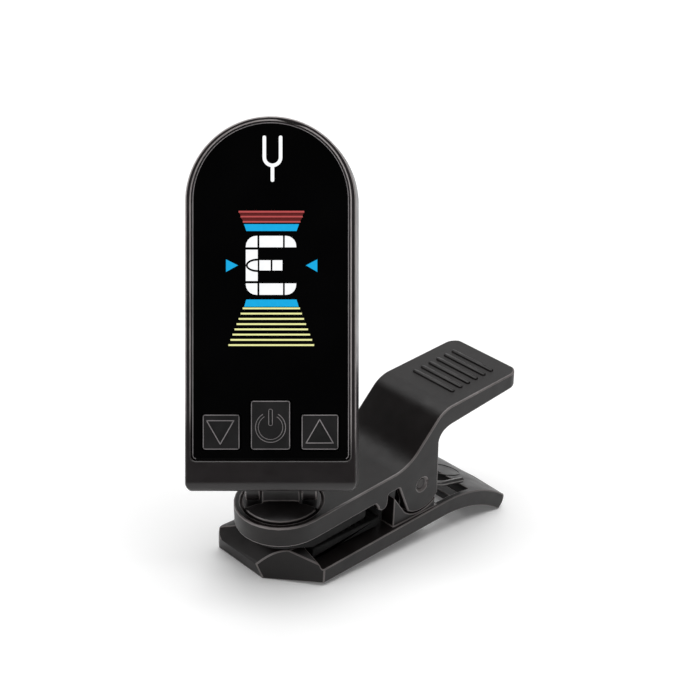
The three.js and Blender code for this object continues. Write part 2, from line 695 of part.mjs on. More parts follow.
function windowPane() {
  const outline = arch(WINDOW_HALF, HEAD_BOTTOM + CHIN, HEAD_TOP - 0.95, 0.8);
  const pane = prismY(outline, WINDOW_FRONT, WINDOW_BACK);
  return cut(pane, ...KEYS.map((key) => keyBox(key, 0.15, -REACH, REACH)));
}

function caseScrew({ x, z }) {
  const head = rodY(1.3, HEAD_BACK - 0.9, HEAD_BACK - 0.15, x, z);
  const slot = box([x - 0.9, x + 0.9], [HEAD_BACK - 0.5, REACH], [z - 0.2, z + 0.2]);
  const cross = box([x - 0.2, x + 0.2], [HEAD_BACK - 0.5, REACH], [z - 0.9, z + 0.9]);
  return cut(joined(head, rodY(0.7, LEDGE_BACK + 0.8, HEAD_BACK - 0.5, x, z)), slot, cross);
}

// ---- head: keys and electronics -----------------------------------------------------

const KEY_FRONT = HEAD_FRONT - 0.1;
const KEY_TRAVEL = 0.5;
const SWITCH_TOP = BOARD_FRONT - 0.65;

function key(spec) {
  const middle = KEY_BOTTOM + spec.height / 2;
  return joined(
    keyBox(spec, 0, KEY_FRONT, WINDOW_BACK + 0.3),
    keyBox(spec, 0.4, WINDOW_BACK + 0.15, WINDOW_BACK + 0.65),
    rodY(1.2, WINDOW_BACK + 0.3, SWITCH_TOP - KEY_TRAVEL - 0.15, spec.x, middle),
  );
}

function domeSwitch(spec) {
  const middle = KEY_BOTTOM + spec.height / 2;
  const half = 2.2;
  const base = box(
    [spec.x - half, spec.x + half],
    [BOARD_FRONT - 0.4, BOARD_FRONT - 0.1],
    [middle - half, middle + half],
  );
  return joined(base, rodY(1.5, SWITCH_TOP, BOARD_FRONT - 0.3, spec.x, middle));
}

const screenPanel = () =>
  box([-SCREEN_HALF, SCREEN_HALF], [WINDOW_BACK + 0.2, BOARD_FRONT - 1], [SCREEN_LOW, SCREEN_HIGH]);

const lightGuide = () =>
  box([-SCREEN_HALF, SCREEN_HALF], [BOARD_FRONT - 0.9, BOARD_FRONT - 0.2], [SCREEN_LOW, SCREEN_HIGH]);

function circuitBoard() {
  const outline = roundedRectangle(-12.1, 12.1, 5.4, 51.4, 1);
  return prismY(outline, BOARD_FRONT, BOARD_BACK);
}

const processor = () => box([-3.5, 3.5], [BOARD_BACK + 0.1, BOARD_BACK + 1], [10, 17]);

// The cell: a can with a smaller stepped negative face towards the board.
function coinCell() {
  const can = rodY(CELL_RADIUS, CELL_FRONT + 0.5, CELL_BACK, 0, CELL_HEIGHT);
  return joined(can, rodY(CELL_RADIUS - 1.1, CELL_FRONT, CELL_FRONT + 0.6, 0, CELL_HEIGHT));
}

function negativeContact() {
  const low = CELL_HEIGHT - 6;
  const side = polygon([
    [BOARD_BACK + 0.1, low],
    [BOARD_BACK + 0.3, low],
    [BOARD_BACK + 0.3, low + 3],
    [CELL_FRONT - 0.1, low + 6],
    [BOARD_BACK + 0.3, low + 9],
    [BOARD_BACK + 0.3, low + 12],
    [BOARD_BACK + 0.1, low + 12],
  ]);
  return prismX(side, -1.6, 1.6);
}

// Bent strip that stands on the board and touches the side of the can.
function positiveContact() {
  const inner = CELL_RADIUS + 0.25;
  const low = BOARD_BACK + 0.1;
  const across = [CELL_HEIGHT - 2, CELL_HEIGHT + 2];
  const foot = box([inner, inner + 1.5], [low, low + 0.3], across);
  const strip = box([inner, inner + 0.3], [low, BACK_WALL - 1.2], across);
  return joined(foot, strip);
}

// Bayonet cap: a disc flush with the back, a collar, two tabs under the wall and a coin slot.
function batteryCap() {
  const z = CELL_HEIGHT;
  const disc = rodY(CAP_RADIUS, BACK_WALL + 0.1, HEAD_BACK, 0, z);
  const collar = cut(
    rodY(CAP_RADIUS - 0.1, BACK_WALL - 0.8, BACK_WALL + 0.2, 0, z),
    rodY(CELL_RADIUS + 0.7, -REACH, REACH, 0, z),
  );
  const tabHalf = 2.2;
  const tabRing = common(
    rodY(CAP_TAB_RADIUS, BACK_WALL - 0.8, BACK_WALL - 0.25, 0, z),
    box([-REACH, REACH], [-REACH, REACH], [z - tabHalf, z + tabHalf]),
  );
  const tabs = cut(tabRing, rodY(CAP_RADIUS - 0.4, -REACH, REACH, 0, z));
  const slot = box([-7, 7], [HEAD_BACK - 0.6, REACH], [z - 0.9, z + 0.9]);
  return cut(joined(disc, collar, tabs), slot);
}

const piezoSensor = () => rodY(5.6, BACK_WALL - 0.7, BACK_WALL - 0.15, 0, 12);

// ---- assembly -----------------------------------------------------------------------

const MATERIALS = {
  shell: { color: 0x2b2829, roughness: 0.42, metalness: 0 },
  rubber: { color: 0x1b1a1b, roughness: 0.85, metalness: 0 },
  key: { color: 0x222122, roughness: 0.7, metalness: 0 },
  glass: { color: 0x050506, roughness: 0.06, metalness: 0 },
  steel: { color: 0x9a9a9c, roughness: 0.3, metalness: 1 },
  screen: { color: 0x0b0f16, roughness: 0.3, metalness: 0 },
  guide: { color: 0xe9edf0, roughness: 0.4, metalness: 0 },
  board: { color: 0x1d5a34, roughness: 0.6, metalness: 0 },
  chip: { color: 0x151516, roughness: 0.5, metalness: 0 },
  brass: { color: 0xb89a54, roughness: 0.35, metalness: 1 },
};

function piece(name, material, solid) {
  const mesh = new THREE.Mesh(geometryFrom(solid), new THREE.MeshStandardMaterial(MATERIALS[material]));
  mesh.name = name;
  return mesh;
}

const head = new THREE.Group();
head.position.set(HEAD_SHIFT, 0, TILT_HEIGHT);
head.rotation.x = degrees(-LEAN_REST_ANGLE);
head.add(
  piece("front_case", "shell", frontCase()),
  piece("rear_case", "shell", rearCase()),
  piece("window", "glass", windowPane()),
  piece("display_panel", "screen", screenPanel()),
  piece("light_guide", "guide", lightGuide()),
  piece("circuit_board", "board", circuitBoard()),
  piece("processor", "chip", processor()),
  piece("coin_cell", "steel", coinCell()),
  piece("negative_contact", "brass", negativeContact()),
  piece("positive_contact", "brass", positiveContact()),
  piece("battery_cap", "shell", batteryCap()),
  piece("piezo_sensor", "brass", piezoSensor()),
  piece("tilt_pin", "steel", tiltPin()),
);
for (const spec of KEYS) {
  head.add(piece("button_" + spec.name, "key", key(spec)));
  head.add(piece("switch_" + spec.name, "steel", domeSwitch(spec)));
}
CASE_SCREWS.forEach((at, i) => head.add(piece("case_screw_" + (i + 1), "steel", caseScrew(at))));

const mount = new THREE.Group();
mount.position.set(SWIVEL_X, 0, ARM_TOP);
mount.rotation.z = degrees(SWIVEL_REST_ANGLE);
mount.add(
  piece("turntable", "shell", turntable()),
  piece("friction_washer", "steel", frictionWasher()),
  piece("swivel_screw", "steel", swivelScrew()),
  head,
);

const lever = new THREE.Group();
lever.position.z = PIN_HEIGHT;
lever.rotation.y = degrees(-JAW_REST_ANGLE);
lever.add(
  piece("upper_jaw", "shell", upperJaw()),
  piece("upper_pad", "rubber", upperPad()),
  piece("pivot_pin", "steel", pivotPin()),
  piece("torsion_spring", "steel", torsionSpring()),
  mount,
);

const clip = new THREE.Group();
const restAngle = Math.atan2(-TAIL_FOOT.y, TAIL_FOOT.x - JAW_FRONT);
clip.rotation.y = -restAngle;
clip.add(
  piece("lower_jaw", "shell", lowerJaw()),
  piece("lower_pad", "rubber", lowerPad()),
  lever,
);

const tuner = new THREE.Group();
tuner.add(clip);
tuner.updateMatrixWorld(true);
const bounds = new THREE.Box3().setFromObject(tuner, true);
const middle = bounds.getCenter(new THREE.Vector3());
clip.position.set(-middle.x, -middle.y, -bounds.min.z);

export default tuner;
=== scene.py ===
"""The looks of the clip-on tuner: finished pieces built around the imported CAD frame."""

import json
import math

import bmesh
import bpy
from mathutils import Matrix, Vector


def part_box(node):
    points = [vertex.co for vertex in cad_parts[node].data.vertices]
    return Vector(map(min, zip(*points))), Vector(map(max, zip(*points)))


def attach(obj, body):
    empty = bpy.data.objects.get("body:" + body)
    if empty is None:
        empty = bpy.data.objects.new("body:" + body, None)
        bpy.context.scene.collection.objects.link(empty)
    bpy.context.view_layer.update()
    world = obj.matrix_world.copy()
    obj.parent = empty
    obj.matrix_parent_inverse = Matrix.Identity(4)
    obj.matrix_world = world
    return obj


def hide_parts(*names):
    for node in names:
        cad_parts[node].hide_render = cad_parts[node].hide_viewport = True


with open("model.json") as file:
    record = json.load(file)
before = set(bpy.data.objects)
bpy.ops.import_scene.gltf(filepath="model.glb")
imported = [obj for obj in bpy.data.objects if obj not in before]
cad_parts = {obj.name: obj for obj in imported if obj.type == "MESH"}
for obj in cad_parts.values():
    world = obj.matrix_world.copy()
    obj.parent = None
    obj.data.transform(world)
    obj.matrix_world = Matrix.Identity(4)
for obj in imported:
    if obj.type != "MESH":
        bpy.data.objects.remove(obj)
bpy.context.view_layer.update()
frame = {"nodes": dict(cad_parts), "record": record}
NODES = frame["nodes"]
BODY_OF = {
    node: body for body, nodes in frame["record"]["behaviour"]["bodies"].items() for node in nodes
}

# ---- frames of the clip, the arm and the head, in millimetres -------------------------

MM = 0.001
FOOT_DROP, FOOT_RUN = 5.1, 55.2  # the tail's foot, below and behind the jaw's front edge
JAW_REST = math.radians(4.3)
JAW_PITCH = math.atan2(FOOT_DROP, FOOT_RUN)
ARM_PITCH = JAW_PITCH + JAW_REST
YAW = math.radians(-43.25)
LEAN = math.radians(-30.6)
PIN_HEIGHT = 9.5
HEAD_SHIFT = -1.35
HEAD_BOTTOM = -0.4
HEAD_HEIGHT = 62.4
WINDOW_FRONT = -9.75
KEY_FRONT = -10.1
KEY_BOTTOM = 6.6
CELL_HEIGHT = 31.6
HEAD_BACK = -0.2
HANDLE_TOP = 13.7
PRINT_OUT = 0.03  # printed shapes, display segments and bands of painted highlight and shade stand this far out from their face
PRINT_IN = 0.02  # and reach this far into it


def middle_of(node):
    low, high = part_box(node)
    return (low + high) / 2


def turned(angle, axis):
    return Matrix.Rotation(angle, 4, axis)


PIN = middle_of("pivot_pin")
ARM = Matrix.Translation(PIN) @ turned(-ARM_PITCH, "Y") @ Matrix.Scale(MM, 4)
JAW = (
    Matrix.Translation(PIN)
    @ turned(-JAW_PITCH, "Y")
    @ Matrix.Scale(MM, 4)
    @ Matrix.Translation((0, 0, -PIN_HEIGHT))
)
HEAD = (
    Matrix.Translation(middle_of("tilt_pin"))
    @ turned(-ARM_PITCH, "Y")
    @ turned(YAW, "Z")
    @ turned(LEAN, "X")
    @ Matrix.Scale(MM, 4)
    @ Matrix.Translation((HEAD_SHIFT, 0, 0))
)

# ---- materials ------------------------------------------------------------------------


class Surface:
    """A node material with one Principled shader and helpers to vary it."""

    def __init__(self, name):
        self.material = bpy.data.materials.new(name)
        self.material.use_nodes = True
        self.tree = self.material.node_tree
        self.shader = self.tree.nodes["Principled BSDF"]
        self.coordinates = self.tree.nodes.new("ShaderNodeTexCoord").outputs["Object"]

    def put(self, **values):
        for key, value in values.items():
            self.shader.inputs[key.replace("_", " ")].default_value = value
        return self

    def noise(self, scale, detail=3.0, stretch=(1, 1, 1)):
        mapping = self.tree.nodes.new("ShaderNodeMapping")
        mapping.inputs["Scale"].default_value = stretch
        noise = self.tree.nodes.new("ShaderNodeTexNoise")
        noise.inputs["Scale"].default_value = scale
        noise.inputs["Detail"].default_value = detail
        self.tree.links.new(self.coordinates, mapping.inputs["Vector"])
        self.tree.links.new(mapping.outputs["Vector"], noise.inputs["Vector"])
        return noise.outputs["Fac"]

    def colours(self, source, low, high, start=0.3, end=0.7):
        ramp = self.tree.nodes.new("ShaderNodeValToRGB")
        ramp.color_ramp.elements[0].position = start
        ramp.color_ramp.elements[0].color = (*low, 1)
        ramp.color_ramp.elements[1].position = end
        ramp.color_ramp.elements[1].color = (*high, 1)
        self.tree.links.new(source, ramp.inputs["Fac"])
        self.tree.links.new(ramp.outputs["Color"], self.shader.inputs["Base Color"])
        return self

    def roughness(self, source, low, high, start=0.25, end=0.75):
        span = self.tree.nodes.new("ShaderNodeMapRange")
        for key, value in (("From Min", start), ("From Max", end), ("To Min", low), ("To Max", high)):
            span.inputs[key].default_value = value
        self.tree.links.new(source, span.inputs["Value"])
        self.tree.links.new(span.outputs["Result"], self.shader.inputs["Roughness"])
        return self

    def bump(self, source, depth_mm, strength=1.0):
        bump = self.tree.nodes.new("ShaderNodeBump")
        bump.inputs["Distance"].default_value = depth_mm * MM
        bump.inputs["Strength"].default_value = strength
        self.tree.links.new(source, bump.inputs["Height"])
        self.tree.links.new(bump.outputs["Normal"], self.shader.inputs["Normal"])
        return self


def fade_down(surface, foot, top, share):
    """Darkens a surface to a share of its colour below foot, and not at all above top."""
    axes = surface.tree.nodes.new("ShaderNodeSeparateXYZ")
    span = surface.tree.nodes.new("ShaderNodeMapRange")
    dim = surface.tree.nodes.new("ShaderNodeVectorMath")
    dim.operation = "SCALE"
    for key, value in (("From Min", foot), ("From Max", top), ("To Min", share), ("To Max", 1)):
        span.inputs[key].default_value = value
    colour = surface.shader.inputs["Base Color"]
    source = colour.links[0].from_socket
    surface.tree.links.new(surface.coordinates, axes.inputs["Vector"])
    surface.tree.links.new(axes.outputs["Z"], span.inputs["Value"])
    surface.tree.links.new(source, dim.inputs[0])
    surface.tree.links.new(span.outputs["Result"], dim.inputs["Scale"])
    surface.tree.links.new(dim.outputs["Vector"], colour)


def moulded(name, low, high, rough_low, rough_high, grain, depth):
    surface = Surface(name)
    surface.colours(surface.noise(180, 4), low, high)
    surface.roughness(surface.noise(420, 5), rough_low, rough_high)
    surface.bump(surface.noise(grain, 2), depth, 0.6)
    return surface


def metal(name, low, high, rough_low, rough_high, stretch=(1, 1, 1)):
    surface = Surface(name).put(Metallic=1.0)
    surface.colours(surface.noise(900, 3, stretch), low, high)
    surface.roughness(surface.noise(2600, 3, stretch), rough_low, rough_high)
    surface.bump(surface.noise(5200, 2, stretch), 0.004, 0.4)
    return surface


def lit(name, colour, strength):
    """Ink or a display segment that glows a little under a gloss coat."""
    surface = Surface(name).put(Roughness=0.35, Emission_Strength=strength)
    surface.shader.inputs["Emission Color"].default_value = (*colour, 1)
    deep, pale = (tuple(c * share for c in colour) for share in (0.12, 0.2))
    surface.colours(surface.noise(1500, 2), deep, pale)
    return surface


SHELL = moulded(
    "satin_black_shell", (0.0065, 0.005, 0.0053), (0.0105, 0.0083, 0.0087), 0.34, 0.46, 4200, 0.012
)
CLIP = moulded(
    "satin_black_clip", (0.005, 0.0037, 0.0037), (0.0085, 0.0066, 0.0065), 0.32, 0.46, 3600, 0.014
)
CLIP.shader.inputs["Specular IOR Level"].default_value = 0.33
BEZEL = moulded(
    "satin_black_bezel", (0.0085, 0.0064, 0.0068), (0.0125, 0.0098, 0.0103), 0.28, 0.4, 4200, 0.008
)
# Pale edge colour: painted highlight on the bevel faces of rounded edges, standing in for the light
# those edges catch.
EDGE_HIGHLIGHT = moulded("painted_highlight_black_edge", (0.11, 0.098, 0.096), (0.19, 0.17, 0.168), 0.25, 0.36, 4200, 0.004)
# Dimmer painted highlight for the rounded edges of the lower jaw.
JAW_EDGE_HIGHLIGHT = moulded("painted_highlight_jaw_edge", (0.09, 0.079, 0.077), (0.15, 0.133, 0.13), 0.26, 0.37, 4200, 0.004)
# Pale rim colour on the front case's rounded edges: painted highlight standing in for the backdrop's
# reflection on the bezel edge, faded to a dark share towards the bottom of the head.
RIM_HIGHLIGHT = moulded("painted_highlight_rim", (0.27, 0.245, 0.245), (0.39, 0.36, 0.355), 0.2, 0.3, 4200, 0.004)
fade_down(RIM_HIGHLIGHT, 0.027, 0.034, 0.12)
KEY = moulded(
    "silicone_key", (0.0035, 0.0033, 0.0036), (0.011, 0.0103, 0.0108), 0.42, 0.55, 3600, 0.016
)
KEY.shader.inputs["Specular IOR Level"].default_value = 0.3
RUBBER = moulded("pad_rubber", (0.002, 0.002, 0.0021), (0.0045, 0.0043, 0.0043), 0.72, 0.9, 2600, 0.03)
BOARD = moulded("solder_resist", (0.008, 0.07, 0.024), (0.014, 0.11, 0.04), 0.3, 0.45, 2400, 0.01)
CHIP = moulded("moulded_package", (0.009, 0.009, 0.009), (0.014, 0.014, 0.014), 0.5, 0.65, 5200, 0.006)
GUIDE = moulded("light_guide", (0.72, 0.78, 0.82), (0.82, 0.86, 0.88), 0.25, 0.4, 1500, 0.004)
SCREEN = moulded(
    "dark_crystal_panel", (0.006, 0.008, 0.012), (0.012, 0.014, 0.02), 0.12, 0.2, 900, 0.001
)
GLASS = Surface("gloss_window").put(IOR=1.45)
GLASS.shader.inputs["Specular IOR Level"].default_value = 0.12
GLASS.colours(GLASS.noise(120, 2), (0.0003, 0.0003, 0.0004), (0.0008, 0.0008, 0.0009))
GLASS.roughness(GLASS.noise(300, 5), 0.045, 0.085)
GLASS.bump(GLASS.noise(60, 2), 0.004, 0.2)
STEEL = metal("plated_steel", (0.42, 0.42, 0.43), (0.56, 0.55, 0.55), 0.2, 0.34)
DARK_STEEL = metal("blackened_steel", (0.13, 0.125, 0.125), (0.2, 0.195, 0.19), 0.28, 0.42, (1, 6, 1))
PIN_STEEL = metal("black_oxide_pin", (0.045, 0.042, 0.042), (0.07, 0.067, 0.065), 0.3, 0.44)
BRASS = metal("brass_strip", (0.5, 0.34, 0.12), (0.62, 0.44, 0.18), 0.24, 0.36)
WHITE = lit("lit_white", (0.95, 0.96, 0.97), 0.9)
BLUE = lit("lit_blue", (0.002, 0.37, 0.71), 0.95)
RED = lit("lit_red", (0.43, 0.068, 0.068), 0.95)
DIM_RED = lit("lit_dim_red", (0.11, 0.008, 0.008), 0.9)
YELLOW = lit("lit_yellow", (0.82, 0.82, 0.36), 0.92)
# Pale bands of painted highlight along the key borders, the key symbols' outlines and the window's
# edge.
PAINTED_HIGHLIGHT = moulded("painted_highlight_pale_edge", (0.17, 0.16, 0.163), (0.27, 0.25, 0.255), 0.3, 0.45, 4200, 0.003)
# Near-black symbol fill: painted shade standing in for the hollow of a recessed key symbol.
ICON_SHADE = moulded(
    "painted_shade_symbol", (0.0006, 0.0006, 0.0006), (0.0012, 0.0012, 0.0012), 0.35, 0.5, 4200, 0.003
)

# ---- pieces ---------------------------------------------------------------------------


def add_piece(name, mesh, surface, body, smooth=True):
    mesh.materials.clear()
    mesh.materials.append(surface.material)
    mesh.polygons.foreach_set("use_smooth", [smooth] * len(mesh.polygons))
    piece = bpy.data.objects.new(name, mesh)
    bpy.context.scene.collection.objects.link(piece)
    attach(piece, body)
    return piece


def soften(piece, width, segments=3, angle=28, edge=None):
    bevel = piece.modifiers.new("round_edges", "BEVEL")
    if edge:
        # The bevel faces take the given edge surface: pale painted highlight along the rounded edges.
        piece.data.materials.append(edge.material)
        bevel.material = 1
    bevel.width = width * MM
    bevel.segments = segments
    bevel.limit_method = "ANGLE"
    bevel.angle_limit = math.radians(angle)
    bevel.miter_outer = "MITER_ARC"
    bevel.use_clamp_overlap = False
    normals = piece.modifiers.new("even_shading", "WEIGHTED_NORMAL")
    normals.weight = 60
    return piece


def finish_node(node, surface, width, segments=3, angle=28, edge=None, merge=0.02):
    """A copy of the CAD node with its flat faces whole again and its edges rounded."""
    mesh = NODES[node].data.copy()
    work = bmesh.new()
    work.from_mesh(mesh)
    bmesh.ops.remove_doubles(work, verts=work.verts, dist=merge * MM)
    bmesh.ops.dissolve_limit(
        work, angle_limit=math.radians(0.8), verts=work.verts, edges=work.edges
    )
    work.to_mesh(mesh)
    work.free()
    piece = add_piece(node + "_shape", mesh, surface, BODY_OF[node])
    soften(piece, width, segments, angle, edge)
    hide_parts(node)
    return piece


def solid_from(name, work, place, surface, body, smooth=True):
    mesh = bpy.data.meshes.new(name)
    bmesh.ops.recalc_face_normals(work, faces=work.faces)
    work.to_mesh(mesh)
    work.free()
    mesh.transform(place)
    return add_piece(name, mesh, surface, body, smooth)


def add_plate(work, outline, low, high):
    """A flat plate: outline points (x, z) with thickness along Y from low to high."""
    near = [work.verts.new((x, low, z)) for x, z in outline]
    far = [work.verts.new((x, high, z)) for x, z in outline]
    count = len(outline)
    work.faces.new(near)
    work.faces.new(list(reversed(far)))
    for i in range(count):
        j = (i + 1) % count
        work.faces.new((near[i], far[i], far[j], near[j]))


def arc(x, z, radius, start, end, steps):
    span = math.radians(end - start)
    first = math.radians(start)
    angles = [first + span * i / steps for i in range(steps + 1)]
    return [(x + radius * math.cos(angle), z + radius * math.sin(angle)) for angle in angles]


def rounded(left, right, low, high, radii, steps=5):
    """Rectangle with its own corner radius at lower left, lower right, upper right, upper left."""
    a, b, c, d = radii
    points = arc(left + a, low + a, a, 180, 270, steps) if a else [(left, low)]
    points += arc(right - b, low + b, b, 270, 360, steps) if b else [(right, low)]
    points += arc(right - c, high - c, c, 0, 90, steps) if c else [(right, high)]
    points += arc(left + d, high - d, d, 90, 180, steps) if d else [(left, high)]
    return points


def ring_band(work, x, z, inner, outer, start, end, low, high, steps=28):
    add_plate(
        work,
        arc(x, z, outer, start, end, steps) + arc(x, z, inner, end, start, steps),
        low,
        high,
    )


def graphic(name, outlines, surface, rise=0.0, shift=0.0):
    """Flat shapes just proud of the window; x from the middle, z from the head's foot."""
    work = bmesh.new()
    for outline in outlines:
        points = [(x + shift, z + rise + HEAD_BOTTOM) for x, z in outline]
        add_plate(work, points, WINDOW_FRONT - PRINT_OUT, WINDOW_FRONT + PRINT_IN)
    return solid_from(name, work, HEAD, surface, "head", smooth=False)


# ---- head -----------------------------------------------------------------------------

finish_node("front_case", BEZEL, 0.22, 3, edge=RIM_HIGHLIGHT)
finish_node("rear_case", SHELL, 0.3, 3, edge=EDGE_HIGHLIGHT)
finish_node("window", GLASS, 0.16, 3)
for side in ("down", "power", "up"):
    finish_node("button_" + side, KEY, 0.22, 3)
    finish_node("switch_" + side, STEEL, 0.08, 2)
finish_node("display_panel", SCREEN, 0.1, 2)
finish_node("light_guide", GUIDE, 0.08, 2)
finish_node("circuit_board", BOARD, 0.05, 2)
finish_node("processor", CHIP, 0.08, 2)
finish_node("coin_cell", STEEL, 0.2, 3)
finish_node("negative_contact", BRASS, 0.04, 2)
finish_node("positive_contact", BRASS, 0.05, 2)
finish_node("battery_cap", SHELL, 0.18, 3, edge=EDGE_HIGHLIGHT)
finish_node("piezo_sensor", BRASS, 0.06, 2)
finish_node("tilt_pin", STEEL, 0.12, 2)
for number in range(1, 5):
    finish_node("case_screw_%d" % number, DARK_STEEL, 0.08, 2)

# Display: note letter in split segments between pointers and a widening ladder of bars.
DISPLAY_RISE = 0.34
DISPLAY_SHIFT = 0.25
TIP = (-2.4, 37.3)  # middle of the pointed segment's straight end


def tip_arc(across, rise, start, end):
    """Points of an ellipse about TIP, which shapes the pointed segment and its neighbours."""
    turns = [math.radians(start + (end - start) * i / 8) for i in range(9)]
    return [(TIP[0] + across * math.cos(turn), TIP[1] + rise * math.sin(turn)) for turn in turns]


graphic(
    "letter_segments",
    [
        rounded(-4.38, -2.45, 40.3, 42.2, (0, 0, 0, 1.75)),
        rounded(-2.12, 1.8, 40.3, 42.2, (0, 0, 0, 0)),
        rounded(2.1, 4.0, 40.3, 42.2, (0, 0, 1.7, 0)),
        [(-4.38, 39.9), *reversed(tip_arc(1.98, 1.12, 90, 176)), (-2.4, 39.9)],
        [(-4.38, 34.7), (-2.4, 34.7), *reversed(tip_arc(1.98, 1.12, 184, 270))],
        tip_arc(1.66, 0.78, 90, 270),
        rounded(-2.12, -0.25, 36.45, 38.15, (0, 0, 0, 0)),
        rounded(0.05, 1.7, 36.45, 38.15, (0, 0, 0, 0)),
        rounded(-4.38, -2.45, 32.4, 34.3, (1.75, 0, 0, 0)),
        rounded(-2.12, 1.8, 32.4, 34.3, (0, 0, 0, 0)),
        rounded(2.1, 4.0, 32.4, 34.3, (0, 1.7, 0, 0)),
    ],
    WHITE,
    DISPLAY_RISE,
    DISPLAY_SHIFT,
)
graphic(
    "blue_pointers",
    [
        [(-7.67, 36.2), (-5.68, 37.3), (-7.67, 38.3)],
        [(7.5, 36.2), (7.5, 38.3), (5.6, 37.3)],
        [(-4.28, 43.0), (4.06, 43.0), (4.46, 44.15), (-4.68, 44.15)],
        [(-4.65, 30.42), (4.42, 30.42), (4.04, 31.62), (-4.31, 31.62)],
    ],
    BLUE,
    DISPLAY_RISE,
    DISPLAY_SHIFT,
)
RED_ROWS = ((46.2, -5.57, 5.33), (45.4, -5.25, 5.07), (44.55, -4.87, 4.69))
graphic(
    "red_bars",
    [rounded(low, high, v - 0.155, v + 0.155, (0, 0, 0, 0)) for v, low, high in RED_ROWS],
    RED,
    DISPLAY_RISE,
    DISPLAY_SHIFT,
)
graphic(
    "dim_red_bars",
    [
        [(-5.2, 45.64), (5.02, 45.64), (5.28, 45.96), (-5.5, 45.96)],
        [(-4.85, 44.79), (4.68, 44.79), (4.98, 45.16), (-5.2, 45.16)],
    ],
    DIM_RED,
    DISPLAY_RISE,
    DISPLAY_SHIFT,
)
BARS = 8
yellow = []
for i in range(BARS):
    share = i / (BARS - 1)
    middle = 30.49 - 6.1 * share
    low, high = -4.89 - 2.37 * share, 4.62 + 2.35 * share
    yellow.append(rounded(low, high, middle - 0.145, middle + 0.145, (0, 0, 0, 0)))
graphic("yellow_bars", yellow, YELLOW, 0.0, DISPLAY_SHIFT)

# A plain tuning fork stands at the head of the window.
fork = bmesh.new()
fork_x, fork_z = 0.3, 55.6 + HEAD_BOTTOM
low, high = WINDOW_FRONT - PRINT_OUT, WINDOW_FRONT + PRINT_IN
ring_band(fork, fork_x, fork_z, 1.05, 1.65, 180, 360, low, high)
for sign in (-1, 1):
    edges = sorted((fork_x + sign * 1.05, fork_x + sign * 1.65))
    add_plate(fork, rounded(*edges, fork_z, fork_z + 3.6, (0, 0, 0.28, 0.28)), low, high)
stem = rounded(fork_x - 0.3, fork_x + 0.3, fork_z - 4.1, fork_z - 1.6, (0.28, 0.28, 0, 0))
add_plate(fork, stem, low, high)
solid_from("tuning_fork_mark", fork, HEAD, WHITE, "head", smooth=False)

# Key symbols on the key faces: near-black plates of painted shade standing in for the hollows of
# recessed symbols, with painted highlight outlines and painted highlight bands round each key's
# border.
icon_low, icon_high = KEY_FRONT - PRINT_OUT, KEY_FRONT + PRINT_IN


def key_icon(name, outlines, body, surface, proud=0.0):
    work = bmesh.new()
    for outline in outlines:
        points = [(x, z + HEAD_BOTTOM) for x, z in outline]
        add_plate(work, points, icon_low - proud, icon_high)
    return solid_from(name, work, HEAD, surface, body, smooth=False)


def band_along(points, width, closed=True):
    """Quads of the given width centred on a line through the points."""
    quads = []
    count = len(points) if closed else len(points) - 1
    for i in range(count):
        a, b = Vector(points[i]), Vector(points[(i + 1) % len(points)])
        along = (b - a).normalized()
        side = Vector((-along.y, along.x)) * width / 2
        reach = along * width / 2
        corners = (a - reach - side, b + reach - side, b + reach + side, a - reach + side)
        quads.append([tuple(corner) for corner in corners])
    return quads


DOWN = [(-10.6, 11.85), (-6.1, 11.85), (-8.35, 7.95)]
UP = [(5.9, 8.15), (10.4, 8.15), (8.15, 12.05)]
for side, corners in (("down", DOWN), ("up", UP)):
    key_icon("icon_" + side, [corners], "button_" + side, ICON_SHADE)
    # A pale outline of painted highlight round each symbol.
    key_icon("icon_edge_" + side, band_along(corners, 0.16), "button_" + side, PAINTED_HIGHLIGHT, 0.02)
power = [arc(0, 10.75, 2.5, 122, 418, 30) + arc(0, 10.75, 2.05, 418, 122, 30)]
power.append(rounded(-0.3, 0.3, 11.05, 13.75, (0.25,) * 4))
key_icon("icon_power", power, "button_power", ICON_SHADE)
# Painted highlight bands along the power symbol's outlines.
power_edge = band_along(arc(0, 10.75, 2.5, 122, 418, 30), 0.12, closed=False)
power_edge += band_along(arc(0, 10.75, 2.03, 122, 418, 30), 0.1, closed=False)
power_edge += band_along(rounded(-0.3, 0.3, 11.05, 13.75, (0.25,) * 4), 0.1)
key_icon("icon_edge_power", power_edge, "button_power", PAINTED_HIGHLIGHT, 0.02)
# Painted highlight bands around each key's border.
KEY_BOXES = {"down": (-8.2, 6.2, 5.9), "power": (0.0, 6.6, 8.2), "up": (8.2, 6.2, 5.9)}
for side, (x, width, height) in KEY_BOXES.items():
    inset = 0.14
    foot = KEY_BOTTOM - HEAD_BOTTOM
    low_edge, high_edge = foot + inset, foot + height - inset
    border = rounded(x - width / 2 + inset, x + width / 2 - inset, low_edge, high_edge, (0.3,) * 4, 3)
    key_icon("key_edge_" + side, band_along(border, 0.13), "button_" + side, PAINTED_HIGHLIGHT)

# Painted highlight along the window's edge: a thin pale band standing in for the light the lens edge
# catches.
WINDOW_HALF = 13.05
edge_half = WINDOW_HALF - 0.12
edge_top = HEAD_HEIGHT - 0.95 - 0.12
edge_foot = 6.17
border = arc(edge_half - 0.7, edge_foot, 0.7, 300, 360, 4)
border += arc(0, edge_top - edge_half, edge_half, 0, 180, 60)
border += arc(0.7 - edge_half, edge_foot, 0.7, 180, 250, 4)
graphic("window_edge", band_along(border, 0.13, closed=False), PAINTED_HIGHLIGHT)

